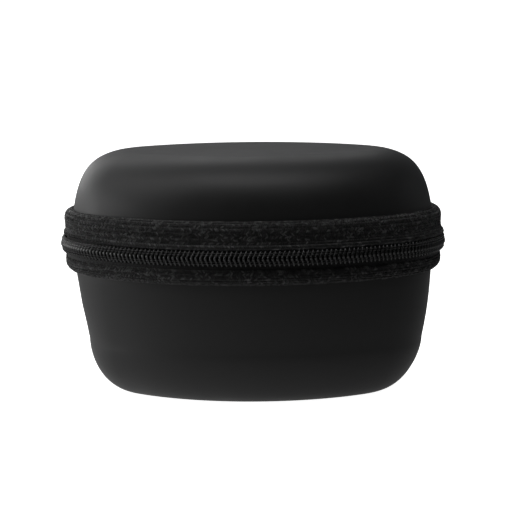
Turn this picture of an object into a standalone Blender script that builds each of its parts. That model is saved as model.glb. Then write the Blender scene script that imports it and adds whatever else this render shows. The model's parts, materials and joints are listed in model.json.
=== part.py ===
"""Zip-round carrying case for headphones: two moulded shells, a coil zip with two sliders and a cloth hinge.

The case stands on its base. X runs along the case, -Y is the front, +Y the hinge side and +Z is up.
"""

import math

import bmesh
import bpy
from mathutils import Vector

MM = 0.001

# Overall form, in millimetres. The rail is an oval of four tangent arcs, and every wall is an offset of it.
RAIL_HALF_LENGTH = 85.2
RAIL_HALF_DEPTH = 59.2
END_ARC_RADIUS = 45.2
PARTING_HEIGHT = 71.5
TOP_HEIGHT = 117.3
RAIL_STEP_DEG = 9.0

# Base shell.
BASE_WALL_TOP = 58.5
BASE_WALL_OFFSET = -0.7
BASE_DRAFT_DEG = 8.9
BASE_CORNER_HEIGHT = 26.0
BASE_CORNER_WIDTH = 21.5
BASE_CORNER_POWER = 1.9

# Lid shell.
LID_WALL_START = 88.0
LID_CORNER_WIDTH = 29.0
LID_CORNER_POWER = 2.25
LID_DOME_RISE = 1.6

SHELL_THICKNESS = 3.6
LINING_THICKNESS = 0.8
GAP = 0.3

# Zip chain: two coils on woven tapes.
COIL_INNER = 3.6
COIL_OUTER = 6.2
COIL_HEIGHT = 3.0
COIL_HALF_SPLIT = 0.9
TAPE_BACK = 2.4
TAPE_FACE = 3.3

# Angles along the rail, measured from +X towards +Y.
HINGE_STRIP_START = 74.5
HINGE_STRIP_END = 105.5
END_TAB_LENGTH = 4.6
TAIL_LIMIT = 127.9
CHAIN_LIMIT = 128.5
ANGLE_GAP = 0.4
STOP_LENGTH = 1.2

# Hinge of the lid and the two sliders.
HINGE_Y = 61.0
FRONT_SLIDER_DEG = 135.6
REAR_SLIDER_DEG = 123.6
SLIDER_LENGTH = 12.4
ROD_OFFSET = 11.2
ROD_RADIUS = 0.8
LINK_WIRE_RADIUS = 0.7
LINK_BEND_RADIUS = 1.9
LINK_STRAIGHT = 6.2
TAB_LENGTH = 25.0
TAB_THICKNESS = 1.4

FRONT_ARC_RADIUS = (
    (RAIL_HALF_LENGTH - END_ARC_RADIUS) ** 2 + RAIL_HALF_DEPTH**2 - END_ARC_RADIUS**2
) / (2 * (RAIL_HALF_DEPTH - END_ARC_RADIUS))
END_CENTRE_X = RAIL_HALF_LENGTH - END_ARC_RADIUS
FRONT_CENTRE_Y = FRONT_ARC_RADIUS - RAIL_HALF_DEPTH
TURN_DEG = math.degrees(math.atan2(FRONT_CENTRE_Y, END_CENTRE_X))


def clear_scene():
    for obj in list(bpy.data.objects):
        bpy.data.objects.remove(obj, do_unlink=True)


def material(name, colour, roughness, metallic=0.0):
    mat = bpy.data.materials.new(name)
    mat.use_nodes = True
    shader = mat.node_tree.nodes["Principled BSDF"]
    shader.inputs["Base Color"].default_value = (*colour, 1.0)
    shader.inputs["Roughness"].default_value = roughness
    shader.inputs["Metallic"].default_value = metallic
    mat.diffuse_color = (*colour, 1.0)
    return mat


def arc_point(deg, offset):
    """A point on the oval's arc whose outward normal points along deg."""
    turn = deg % 360.0
    rad = math.radians(turn)
    if TURN_DEG < turn < 180.0 - TURN_DEG:
        centre, radius = (0.0, -FRONT_CENTRE_Y), FRONT_ARC_RADIUS
    elif 180.0 + TURN_DEG < turn < 360.0 - TURN_DEG:
        centre, radius = (0.0, FRONT_CENTRE_Y), FRONT_ARC_RADIUS
    elif 90.0 < turn < 270.0:
        centre, radius = (-END_CENTRE_X, 0.0), END_ARC_RADIUS
    else:
        centre, radius = (END_CENTRE_X, 0.0), END_ARC_RADIUS
    return Vector((centre[0] + (radius + offset) * math.cos(rad), centre[1] + (radius + offset) * math.sin(rad)))


def rail_point(deg, offset):
    """The same point on the faceted rail that every wall shares, so that neighbouring walls keep their gap."""
    low = math.floor(deg / RAIL_STEP_DEG) * RAIL_STEP_DEG
    share = (deg - low) / RAIL_STEP_DEG
    if share < 1e-6:
        return arc_point(low, offset)
    return arc_point(low, offset).lerp(arc_point(low + RAIL_STEP_DEG, offset), share)


def angles(start, end):
    """The ends and every rail step between them."""
    inner = [RAIL_STEP_DEG * k for k in range(int(start // RAIL_STEP_DEG), int(end // RAIL_STEP_DEG) + 2)]
    return [start] + [a for a in inner if start + 0.35 < a < end - 0.35] + [end]


def new_object(name, mesh_builder, mat, smooth=False, parent=None, at=(0.0, 0.0, 0.0)):
    """An object whose builder fills a bmesh in millimetres, world frame, with its origin put at the given point."""
    shape = bmesh.new()
    mesh_builder(shape)
    bmesh.ops.recalc_face_normals(shape, faces=shape.faces)
    origin = Vector(at)
    for vert in shape.verts:
        vert.co = (vert.co - origin) * MM
    mesh = bpy.data.meshes.new(name)
    shape.to_mesh(mesh)
    shape.free()
    mesh.materials.append(mat)
    for face in mesh.polygons:
        face.use_smooth = smooth
    obj = bpy.data.objects.new(name, mesh)
    bpy.context.scene.collection.objects.link(obj)
    obj.location = origin * MM
    if parent is not None:
        obj.parent = parent
        obj.location = (origin - parent_origin(parent)) * MM
    return obj


def parent_origin(obj):
    """World position in millimetres of an unturned parent chain."""
    total = Vector((0.0, 0.0, 0.0))
    while obj is not None:
        total += Vector(obj.location) / MM
        obj = obj.parent
    return total


def bridge_rings(shape, first, second):
    count = len(first)
    for k in range(count):
        nxt = (k + 1) % count
        shape.faces.new((first[k], first[nxt], second[nxt], second[k]))


def shell_builder(outer, inner, outer_cap, inner_cap):
    """A bowl: an outer and an inner profile of (offset, height), each closed by scaled rings and a centre."""
    turns = [RAIL_STEP_DEG * k for k in range(int(round(360.0 / RAIL_STEP_DEG)))]

    def ring(shape, offset, height, scale=1.0):
        points = [arc_point(a, offset) * scale for a in turns]
        return [shape.verts.new((p.x, p.y, height)) for p in points]

    def side(shape, profile, cap):
        rings = [ring(shape, n, z) for n, z in profile]
        for scale, height in cap[:-1]:
            rings.append(ring(shape, profile[-1][0], height, scale))
        for a, b in zip(rings, rings[1:]):
            bridge_rings(shape, a, b)
        if cap:
            centre = shape.verts.new((0.0, 0.0, cap[-1][1]))
            last = rings[-1]
            for k in range(len(last)):
                shape.faces.new((last[k], last[(k + 1) % len(last)], centre))
        else:
            shape.faces.new(rings[-1])
        return rings[0]

    def build(shape):
        bridge_rings(shape, side(shape, outer, outer_cap), side(shape, inner, inner_cap))

    return build


def sweep_builder(section, start=None, end=None):
    """A section of (offset, height) run along the rail: all round it, or from start to end with closed ends.

    The section may be a function of the angle.
    """

    def build(shape):
        whole = start is None
        turns = [RAIL_STEP_DEG * k for k in range(int(round(360.0 / RAIL_STEP_DEG)))] if whole else angles(start, end)
        rings = []
        for turn in turns:
            profile = section(turn) if callable(section) else section
            rings.append([shape.verts.new((*rail_point(turn, n), z)) for n, z in profile])
        for a, b in zip(rings, rings[1:] + rings[:1] if whole else rings[1:]):
            bridge_rings(shape, a, b)
        if not whole:
            shape.faces.new(rings[0])
            shape.faces.new(rings[-1])

    return build


def inset_profile(profile, depth):
    """A profile moved inwards by depth along its own normals."""
    moved = []
    for k, (n, z) in enumerate(profile):
        before = profile[max(k - 1, 0)]
        after = profile[min(k + 1, len(profile) - 1)]
        along = Vector((after[0] - before[0], after[1] - before[1])).normalized()
        normal = Vector((-along.y, along.x))
        if normal.x > 0:
            normal = -normal
        moved.append((n + normal.x * depth, z + normal.y * depth))
    return moved


def base_wall(steps):
    """Outer profile of the base from under the tape to the flat of its underside."""
    drop = BASE_WALL_TOP - BASE_CORNER_HEIGHT
    low = BASE_WALL_OFFSET - drop * math.tan(math.radians(BASE_DRAFT_DEG))
    points = [(BASE_WALL_OFFSET, BASE_WALL_TOP)]
    for k in range(steps + 1):
        turn = math.pi / 2 * k / steps
        across = BASE_CORNER_WIDTH * (1 - max(math.cos(turn), 0.0) ** (2 / BASE_CORNER_POWER))
        down = BASE_CORNER_HEIGHT * math.sin(turn) ** (2 / BASE_CORNER_POWER)
        points.append((low - across, BASE_CORNER_HEIGHT - down))
    return points


def lid_wall(steps):
    """Outer profile of the lid from over the tape to the edge of its dome."""
    rise = TOP_HEIGHT - LID_DOME_RISE - LID_WALL_START
    points = []
    for k in range(steps + 1):
        turn = math.pi / 2 * k / steps
        across = LID_CORNER_WIDTH * (1 - max(math.cos(turn), 0.0) ** (2 / LID_CORNER_POWER))
        points.append((-across, LID_WALL_START + rise * math.sin(turn) ** (2 / LID_CORNER_POWER)))
    return points


def tube_builder(path, radius, closed, sides=10):
    """A round bar along a path of points."""

    def build(shape):
        count = len(path)
        points = [Vector(p) for p in path]
        side = (points[1] - points[0]).cross(points[2] - points[1]).normalized()
        rings = []
        for k in range(count):
            before = points[k - 1] if closed or k > 0 else points[k]
            after = points[(k + 1) % count] if closed or k < count - 1 else points[k]
            into = (points[k] - before).normalized() if (points[k] - before).length > 1e-6 else None
            out = (after - points[k]).normalized() if (after - points[k]).length > 1e-6 else into
            into = into or out
            along = (into + out).normalized()
            stretch = 1.0 / max(along.dot(out), 0.5)
            across = side.cross(along).normalized()
            ring = []
            for j in range(sides):
                turn = 2 * math.pi * j / sides
                ring.append(
                    shape.verts.new(points[k] + across * radius * stretch * math.cos(turn) + side * radius * math.sin(turn))
                )
            rings.append(ring)
        for a, b in zip(rings, rings[1:] + rings[:1] if closed else rings[1:]):
            bridge_rings(shape, a, b)
        if not closed:
            shape.faces.new(rings[0])
            shape.faces.new(rings[-1])

    return build


def prism_builder(outline, axis_points):
    """A flat outline of (u, v) extruded between two placements, each a function from (u, v) to a point."""

    def build(shape):
        low = [shape.verts.new(axis_points[0](u, v)) for u, v in outline]
        high = [shape.verts.new(axis_points[1](u, v)) for u, v in outline]
        bridge_rings(shape, low, high)
        shape.faces.new(low)
        shape.faces.new(high)

    return build


def boolean(obj, other, operation):
    step = obj.modifiers.new(other.name, "BOOLEAN")
    step.operation = operation
    step.solver = "EXACT"
    step.object = other
    other.hide_render = True
    other.display_type = "WIRE"


clear_scene()

eva = material("moulded_shell", (0.012, 0.012, 0.013), 0.55)
lining = material("brushed_lining", (0.02, 0.02, 0.022), 0.95)
tape = material("woven_tape", (0.015, 0.015, 0.016), 0.85)
coil = material("nylon_coil", (0.012, 0.012, 0.013), 0.35)
binding = material("binding_tape", (0.015, 0.015, 0.016), 0.8)
net = material("pocket_net", (0.02, 0.02, 0.021), 0.8)
elastic = material("elastic_hem", (0.018, 0.018, 0.02), 0.85)
enamel = material("enamelled_zinc", (0.02, 0.02, 0.022), 0.3, 0.9)

hinge = bpy.data.objects.new("lid_hinge", None)
bpy.context.scene.collection.objects.link(hinge)
hinge_at = (0.0, HINGE_Y, PARTING_HEIGHT)
hinge.location = Vector(hinge_at) * MM

# Moulded shells. Each has a flared rim that the zip tape is sewn over.
base_rim = [(1.9, 65.6), (2.0, 65.0), (2.9, 64.2), (3.1, 63.0), (2.5, 61.7), (1.5, 60.8), (-0.6, 60.2)]
base_outer = base_rim + base_wall(6)
base_inner = [(-SHELL_THICKNESS, 65.6), (-SHELL_THICKNESS, 60.0)] + inset_profile(base_wall(6), SHELL_THICKNESS)[1:]
new_object("base_shell", shell_builder(base_outer, base_inner, [], []), eva, True)

lining_out = SHELL_THICKNESS + GAP
lining_in = lining_out + LINING_THICKNESS
new_object(
    "base_lining",
    shell_builder(
        [(-lining_out, 65.6), (-lining_out, 60.0)] + inset_profile(base_wall(6), lining_out)[1:],
        [(-lining_in, 65.6), (-lining_in, 60.0)] + inset_profile(base_wall(6), lining_in)[1:],
        [],
        [],
    ),
    lining,
    True,
)

lid_rim = [(1.9, 77.4), (2.0, 78.0), (2.7, 79.5), (3.3, 81.5), (3.5, 84.0), (3.0, 85.5), (1.6, 86.2), (0.0, 86.3)]
dome = [(0.6, TOP_HEIGHT - 0.5), (1.0, TOP_HEIGHT)]
lid_outer = lid_rim + lid_wall(6)


def lowered(cap, depth):
    return [(scale, height - depth) for scale, height in cap]


lid_inner = [(-SHELL_THICKNESS, 77.4)] + inset_profile(lid_wall(6), SHELL_THICKNESS)
new_object(
    "lid_shell", shell_builder(lid_outer, lid_inner, dome, lowered(dome, SHELL_THICKNESS)), eva, True, hinge, hinge_at
)
new_object(
    "lid_lining",
    shell_builder(
        [(-lining_out, 77.4)] + inset_profile(lid_wall(6), lining_out),
        [(-lining_in, 77.4)] + inset_profile(lid_wall(6), lining_in),
        lowered(dome, lining_out),
        lowered(dome, lining_in),
    ),
    lining,
    True,
    hinge,
    hinge_at,
)

# Woven zip tapes, folded round the rims. Where the closed tail of the zip sits, only the sewn part belongs to the tape.
split = COIL_HALF_SPLIT
upper_edge = PARTING_HEIGHT + split
lower_edge = PARTING_HEIGHT - split
tail_top = 77.3
tail_bottom = 65.7
chain_start = CHAIN_LIMIT
chain_end = 360.0 + 180.0 - CHAIN_LIMIT
strip_edge = HINGE_STRIP_END + ANGLE_GAP
tape_start = strip_edge + END_TAB_LENGTH + ANGLE_GAP
tape_end = 540.0 - tape_start


def upper_section(turn):
    edge = upper_edge if chain_start - 0.01 <= turn <= chain_end + 0.01 else tail_top
    return [
        (TAPE_BACK, edge),
        (TAPE_FACE, edge),
        (TAPE_FACE, 77.6),
        (4.0, 78.9),
        (4.6, 81.4),
        (4.9, 84.2),
        (4.1, 86.6),
        (2.2, 87.7),
        (0.4, 87.7),
        (0.4, 86.75),
        (1.8, 86.65),
        (3.4, 85.9),
        (3.95, 84.1),
        (3.7, 81.5),
        (3.1, 79.4),
        (TAPE_BACK, 77.8),
    ]


def lower_section(turn):
    edge = lower_edge if chain_start - 0.01 <= turn <= chain_end + 0.01 else tail_bottom
    return [
        (TAPE_BACK, edge),
        (TAPE_FACE, edge),
        (TAPE_FACE, 65.6),
        (4.3, 64.8),
        (4.5, 63.2),
        (3.9, 61.4),
        (2.6, 59.9),
        (1.0, 59.0),
        (-0.3, 58.9),
        (-0.3, 59.85),
        (0.8, 60.0),
        (2.0, 60.65),
        (3.0, 61.8),
        (3.55, 63.2),
        (3.35, 64.3),
        (TAPE_BACK, 65.3),
    ]


def stepped_tape(section):
    """A tape swept along the rail, with a short step where the tail of the zip begins and ends."""

    def build(shape):
        turns = angles(tape_start, chain_start - 0.02) + angles(chain_start, chain_end)
        turns += angles(chain_end + 0.02, tape_end)
        rings = [[shape.verts.new((*rail_point(t, n), z)) for n, z in section(t)] for t in turns]
        for a, b in zip(rings, rings[1:]):
            bridge_rings(shape, a, b)
        shape.faces.new(rings[0])
        shape.faces.new(rings[-1])

    return build


new_object("upper_zip_tape", stepped_tape(upper_section), tape, True, hinge, hinge_at)
new_object("lower_zip_tape", stepped_tape(lower_section), tape, True)


def coil_section(low):
    high = low + COIL_HEIGHT
    return [
        (COIL_INNER, low),
        (COIL_OUTER - 0.8, low),
        (COIL_OUTER, low + 0.9),
        (COIL_OUTER, high - 0.9),
        (COIL_OUTER - 0.8, high),
        (COIL_INNER, high),
    ]


new_object("upper_coil", sweep_builder(coil_section(upper_edge), chain_start, chain_end), coil, True, hinge, hinge_at)
new_object("lower_coil", sweep_builder(coil_section(lower_edge - COIL_HEIGHT), chain_start, chain_end), coil, True)

# The closed tails of the zip, from the sliders' parking place to the hinge, and the cloth tabs over their ends.
tail_section = [
    (TAPE_BACK, tail_bottom + 0.6),
    (TAPE_FACE, tail_bottom + 0.6),
    (TAPE_FACE, lower_edge - COIL_HEIGHT),
    (COIL_OUTER - 0.8, lower_edge - COIL_HEIGHT),
    (COIL_OUTER, lower_edge - COIL_HEIGHT + 0.9),
    (COIL_OUTER, upper_edge + COIL_HEIGHT - 0.9),
    (COIL_OUTER - 0.8, upper_edge + COIL_HEIGHT),
    (TAPE_FACE, upper_edge + COIL_HEIGHT),
    (TAPE_FACE, tail_top - 0.4),
    (TAPE_BACK, tail_top - 0.4),
]
strip_outer_section = [
    (0.4, 87.7),
    (0.4, 86.75),
    (1.8, 86.65),
    (3.4, 85.9),
    (3.95, 84.1),
    (3.7, 81.5),
    (3.1, 79.4),
    (TAPE_BACK, 77.8),
    (TAPE_BACK, 65.3),
    (3.35, 64.3),
    (3.55, 63.2),
    (3.0, 61.8),
    (2.0, 60.65),
    (0.8, 60.0),
    (-0.3, 59.85),
    (-0.3, 58.9),
    (1.0, 59.0),
    (2.6, 59.9),
    (3.9, 61.4),
    (4.5, 63.2),
    (4.3, 64.8),
    (TAPE_FACE, 65.6),
    (TAPE_FACE, 77.6),
    (4.0, 78.9),
    (4.6, 81.4),
    (4.9, 84.2),
    (4.1, 86.6),
    (2.2, 87.7),
]
tab_turns = {"left": (strip_edge, strip_edge + END_TAB_LENGTH), "right": ()}
tab_turns["right"] = (180.0 - tab_turns["left"][1], 180.0 - tab_turns["left"][0])
tail_turns = {"left": (tape_start, TAIL_LIMIT), "right": (180.0 - TAIL_LIMIT, 180.0 - tape_start)}
full_tab_section = strip_outer_section[:8] + strip_outer_section[8:21] + [
    (TAPE_FACE + 0.4, 66.2),
    (6.6, 67.2),
    (7.0, 68.4),
    (7.0, 74.6),
    (6.6, 75.8),
    (TAPE_FACE + 0.4, 76.9),
] + strip_outer_section[23:]
slot_section = [(1.5, lower_edge), (7.5, lower_edge), (7.5, upper_edge), (1.5, upper_edge)]
slot_turns = {
    "left": (tape_start + STOP_LENGTH, TAIL_LIMIT + 2.0),
    "right": (180.0 - TAIL_LIMIT - 2.0, 180.0 - tape_start - STOP_LENGTH),
}
for side_name in ("left", "right"):
    tail = new_object("zip_tail_" + side_name, sweep_builder(tail_section, *tail_turns[side_name]), coil, True)
    slot = new_object("slot_cutter_" + side_name, sweep_builder(slot_section, *slot_turns[side_name]), coil)
    boolean(tail, slot, "DIFFERENCE")
    new_object("zip_end_tab_" + side_name, sweep_builder(full_tab_section, *tab_turns[side_name]), tape, True)
new_object("hinge_strip_outer", sweep_builder(strip_outer_section, HINGE_STRIP_START, HINGE_STRIP_END), tape, True)
new_object(
    "hinge_strip_inner",
    sweep_builder([(-7.1, 59.0), (-6.2, 59.0), (-6.2, 84.0), (-7.1, 84.0)], HINGE_STRIP_START - 4, HINGE_STRIP_END + 4),
    lining,
)

# Bindings over the raw edges of shell and lining.
new_object(
    "base_rim_binding",
    sweep_builder([(-5.9, 60.6), (-5.0, 60.6), (-5.0, 65.9), (1.9, 65.9), (1.9, 66.7), (-5.9, 66.7)]),
    binding,
)
new_object(
    "lid_rim_binding",
    sweep_builder([(-5.9, 84.6), (-5.0, 84.6), (-5.0, 77.1), (1.9, 77.1), (1.9, 76.3), (-5.9, 76.3)]),
    binding,
    False,
    hinge,
    hinge_at,
)

# Net pocket across the front half of the lid.
new_object(
    "pocket_binding",
    sweep_builder([(-5.9, 85.0), (-5.0, 85.0), (-5.0, 88.0), (-5.9, 88.0)], 181.0, 359.0),
    binding,
    False,
    hinge,
    hinge_at,
)


def pocket_net_builder(shape):
    """A thin cloth across the front half, slightly slack, closed as one body."""
    rows = [180.0 + RAIL_STEP_DEG * k for k in range(1, 10)]
    grids = []
    for lift in (0.0, 0.7):
        grid = []
        for turn in rows:
            left = rail_point(turn, -6.3)
            line = []
            for k in range(7):
                share = k / 6
                sag = 3.0 * math.sin(math.pi * share) * math.sin(math.pi * min((turn - 180.0) / 90.0, 1.0) * 0.85 + 0.2)
                line.append(shape.verts.new((left.x * (1 - 2 * share), left.y, 86.0 + lift + sag)))
            grid.append(line)
        grids.append(grid)
    for grid in grids:
        for a, b in zip(grid, grid[1:]):
            for k in range(6):
                shape.faces.new((a[k], a[k + 1], b[k + 1], b[k]))
    low, high = grids
    rim_low = low[0] + [row[-1] for row in low[1:-1]] + low[-1][::-1] + [row[0] for row in low[1:-1]][::-1]
    rim_high = high[0] + [row[-1] for row in high[1:-1]] + high[-1][::-1] + [row[0] for row in high[1:-1]][::-1]
    bridge_rings(shape, rim_low, rim_high)


new_object("pocket_net", pocket_net_builder, net, True, hinge, hinge_at)


def pocket_elastic_builder(shape):
    """The gathered hem along the net's free edge."""
    half = rail_point(180.0, -6.4).x
    edge = rail_point(180.0 + RAIL_STEP_DEG, -6.3).y + 0.4
    rings = []
    for k in range(9):
        share = k / 8
        x = half * (1 - 2 * share)
        rise = 3.0 * math.sin(math.pi * share) * math.sin(0.2)
        low = 85.6 + rise
        rings.append([shape.verts.new((x, y, z)) for y, z in ((edge, low), (edge + 7, low), (edge + 7, low + 1.4), (edge, low + 1.4))])
    for a, b in zip(rings, rings[1:]):
        bridge_rings(shape, a, b)
    shape.faces.new(rings[0])
    shape.faces.new(rings[-1])


new_object("pocket_elastic", pocket_elastic_builder, elastic, False, hinge, hinge_at)


# Sliders. Each turns about the vertical axis through the centre of the arc it runs on.
def make_slider(prefix, centre, radius, deg, nose):
    """nose is +1 where the divider is at the end further along the rail, -1 where it is at the other end."""
    axis = Vector((centre[0], centre[1], PARTING_HEIGHT))
    rad = math.radians(deg)
    out = Vector((math.cos(rad), math.sin(rad), 0.0))
    along = Vector((-math.sin(rad), math.cos(rad), 0.0))

    def place(t, n, z):
        return axis + out * (radius + n) + along * t + Vector((0.0, 0.0, z))

    half = SLIDER_LENGTH / 2
    # The plate and flanges keep one inside width, and narrow a little outside towards the tail.
    ends = []
    for t, grow in ((-half, 5.15 if nose < 0 else 4.8), (half, 5.15 if nose > 0 else 4.8)):
        ends.append(
            (
                t,
                [
                    (3.75, -grow),
                    (7.2, -grow),
                    (8.0, -grow + 0.8),
                    (8.0, grow - 0.8),
                    (7.2, grow),
                    (3.75, grow),
                    (3.75, 4.25),
                    (6.5, 4.25),
                    (6.5, -4.25),
                    (3.75, -4.25),
                ],
            )
        )

    def channel(shape):
        rings = [[shape.verts.new(place(t, n, z)) for n, z in profile] for t, profile in ends]
        bridge_rings(shape, rings[0], rings[1])
        shape.faces.new(rings[0])
        shape.faces.new(rings[1])

    body = new_object(prefix + "_slider_body", channel, enamel, False, None, axis)
    web_at = nose * (half - 3.0)
    web = new_object(
        prefix + "_divider_shape",
        prism_builder(
            [(web_at - 1.5, -0.6), (web_at + 1.5, -0.6), (web_at + 1.5, 0.6), (web_at - 1.5, 0.6)],
            (lambda t, z: place(t, 1.0, z), lambda t, z: place(t, 7.0, z)),
        ),
        enamel,
        False,
        None,
        axis,
    )
    under = new_object(
        prefix + "_under_plate_shape",
        prism_builder(
            [(-half + 0.6, -4.2), (half - 0.6, -4.2), (half - 0.6, 4.2), (-half + 0.6, 4.2)],
            (lambda t, z: place(t, 0.5, z), lambda t, z: place(t, 1.6, z)),
        ),
        enamel,
        False,
        None,
        axis,
    )
    boolean(body, web, "UNION")
    boolean(body, under, "UNION")
    leg = 8.3
    arch = [(-4.4, leg), (-4.4, 10.3), (-3.5, ROD_OFFSET), (3.5, ROD_OFFSET), (4.4, 10.3), (4.4, leg)]
    crown = new_object(
        prefix + "_slider_crown",
        tube_builder([place(t, n, 0.0) for t, n in arch], ROD_RADIUS, False, 8),
        enamel,
        True,
        body,
        axis,
    )
    rod = place(0.0, ROD_OFFSET, 0.0)
    bend = [math.pi * k / 6 for k in range(7)]
    loop = [(math.cos(a) * LINK_BEND_RADIUS, math.sin(a) * LINK_BEND_RADIUS) for a in bend]
    loop += [(-math.cos(a) * LINK_BEND_RADIUS, -LINK_STRAIGHT - math.sin(a) * LINK_BEND_RADIUS) for a in bend]
    link = new_object(
        prefix + "_pull_link",
        tube_builder([place(0.0, ROD_OFFSET + n, z) for n, z in loop], LINK_WIRE_RADIUS, True, 8),
        enamel,
        True,
        body,
        rod,
    )
    pivot = place(0.0, ROD_OFFSET, -LINK_STRAIGHT - LINK_BEND_RADIUS)
    hole = -0.35
    outline = []
    for k in range(9):
        turn = math.pi * k / 8
        outline.append((3.3 * math.cos(turn), hole + 3.3 * math.sin(turn)))
    outline.append((-3.9, hole - TAB_LENGTH + 6.0))
    for k in range(9):
        turn = math.pi + math.pi * k / 8
        outline.append((4.2 * math.cos(turn), hole - TAB_LENGTH + 4.2 + 4.2 * math.sin(turn)))
    outline.append((3.9, hole - TAB_LENGTH + 6.0))
    half_plate = TAB_THICKNESS / 2
    tab = new_object(
        prefix + "_pull_tab",
        prism_builder(
            outline,
            (
                lambda t, z: pivot + along * t + Vector((0.0, 0.0, z)) - out * half_plate,
                lambda t, z: pivot + along * t + Vector((0.0, 0.0, z)) + out * half_plate,
            ),
        ),
        enamel,
        False,
        link,
        pivot,
    )
    eye = [(1.5 * math.cos(math.pi * k / 8), hole + 1.5 * math.sin(math.pi * k / 8)) for k in range(16)]
    punch = new_object(
        prefix + "_eye_cutter",
        prism_builder(
            eye,
            (
                lambda t, z: pivot + along * t + Vector((0.0, 0.0, z)) - out * 2,
                lambda t, z: pivot + along * t + Vector((0.0, 0.0, z)) + out * 2,
            ),
        ),
        enamel,
        False,
        link,
        pivot,
    )
    boolean(tab, punch, "DIFFERENCE")
    return body, crown, link, tab


make_slider("front", (-END_CENTRE_X, 0.0), END_ARC_RADIUS, FRONT_SLIDER_DEG, -1)
make_slider("rear", (0.0, -FRONT_CENTRE_Y), FRONT_ARC_RADIUS, REAR_SLIDER_DEG, 1)
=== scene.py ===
import bpy
import bmesh
import json
import math
from mathutils import Matrix, Vector, noise


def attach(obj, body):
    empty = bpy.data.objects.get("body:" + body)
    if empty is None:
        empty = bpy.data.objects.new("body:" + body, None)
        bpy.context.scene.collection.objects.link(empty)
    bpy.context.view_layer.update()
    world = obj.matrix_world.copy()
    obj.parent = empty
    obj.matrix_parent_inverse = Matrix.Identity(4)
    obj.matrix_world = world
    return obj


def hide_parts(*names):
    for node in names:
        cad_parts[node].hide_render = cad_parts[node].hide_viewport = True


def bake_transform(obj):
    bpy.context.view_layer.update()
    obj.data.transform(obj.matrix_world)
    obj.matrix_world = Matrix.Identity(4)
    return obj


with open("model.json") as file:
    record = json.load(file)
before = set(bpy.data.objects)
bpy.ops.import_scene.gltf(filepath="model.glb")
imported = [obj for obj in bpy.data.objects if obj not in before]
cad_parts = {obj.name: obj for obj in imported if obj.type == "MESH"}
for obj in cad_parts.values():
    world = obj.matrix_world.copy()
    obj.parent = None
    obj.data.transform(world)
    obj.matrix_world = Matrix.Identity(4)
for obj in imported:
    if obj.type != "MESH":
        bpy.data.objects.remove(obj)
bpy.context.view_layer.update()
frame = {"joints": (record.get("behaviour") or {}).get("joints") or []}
mm = 0.001
joints = {joint["name"]: joint for joint in frame["joints"]}

camera = {
    "distance": 1.212, "height": 8.0, "turn": 3.2, "roll": -0.65, "aim": (0.0022, 0.0, 0.0634), "lens": 177.6,
    "sensor": 36.0, "clip": 20.0,
}
# area lights: name, place, size, power
softboxes = [
    ("topLeftBox", (-0.9, -0.3, 0.9), (0.7, 0.7), 4.6),
    ("backBox", (-0.35, 0.9, 1.0), (1.2, 0.6), 3.6),
    ("leftBox", (-1.1, 0.05, 0.1), (0.8, 0.4), 6.2),
    ("rightBox", (1.1, 0.3, 0.35), (0.8, 0.4), 0.2),
    ("topFrontBox", (0.0, -0.35, 1.2), (1.0, 0.5), 6.6),
    ("leftBackBox", (-0.8, 0.8, 0.4), (0.8, 0.5), 4.2),
]
studio = {
    "sky": 0.12, "frontSky": 0.01, "skyTint": (0.93, 0.96, 1.0, 1), "darkFrom": -0.8, "darkTo": 0.2, "backdrop": 1.05,
    "lampAim": (0, 0, 0.07), "floorHalf": 4, "floorDrop": 0.0003, "floorTone": 0.8, "floorBounce": 0.3,
    "floorGlow": 0.52, "glowReach": 0.28, "glowCentre": (-0.05, 0.0, 0.0), "floorFill": 1.0,
}


def addLinked(name, data):
    obj = bpy.data.objects.new(name, data)
    bpy.context.scene.collection.objects.link(obj)
    return obj


def addNode(tree, kind, inputs=(), **settings):
    # a node of a shader or geometry tree; each input is a value or the socket that feeds it
    node = tree.nodes.new(kind)
    for key, value in settings.items():
        setattr(node, key, value)
    for key, value in dict(inputs).items():
        if isinstance(value, bpy.types.NodeSocket):
            tree.links.new(value, node.inputs[key])
        else:
            node.inputs[key].default_value = value
    return node


def rangeNode(tree, value, low, high, start=0.0, end=1.0, **settings):
    inputs = {"Value": value, "From Min": start, "From Max": end, "To Min": low, "To Max": high}
    return addNode(tree, "ShaderNodeMapRange", inputs, **settings).outputs[0]


def aimAt(obj, target, roll=0.0):
    look = (Vector(target) - obj.location).to_track_quat("-Z", "Y")
    obj.rotation_euler = (look.to_matrix().to_4x4() @ Matrix.Rotation(math.radians(roll), 4, "Z")).to_euler()


def addCamera():
    data = bpy.data.cameras.new("viewCamera")
    data.lens, data.sensor_width, data.clip_end = camera["lens"], camera["sensor"], camera["clip"]
    eye = addLinked("viewCamera", data)
    up, side = math.radians(camera["height"]), math.radians(camera["turn"])
    away = Vector((math.sin(side) * math.cos(up), -math.cos(side) * math.cos(up), math.sin(up)))
    eye.location = Vector(camera["aim"]) + away * camera["distance"]
    aimAt(eye, camera["aim"], camera["roll"])
    bpy.context.scene.camera = eye


def addSoftbox(name, place, size, power):
    data = bpy.data.lights.new(name, "AREA")
    data.shape, data.energy = "RECTANGLE", power
    data.size, data.size_y = size
    lamp = addLinked(name, data)
    lamp.location = place
    aimAt(lamp, studio["lampAim"])


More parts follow.
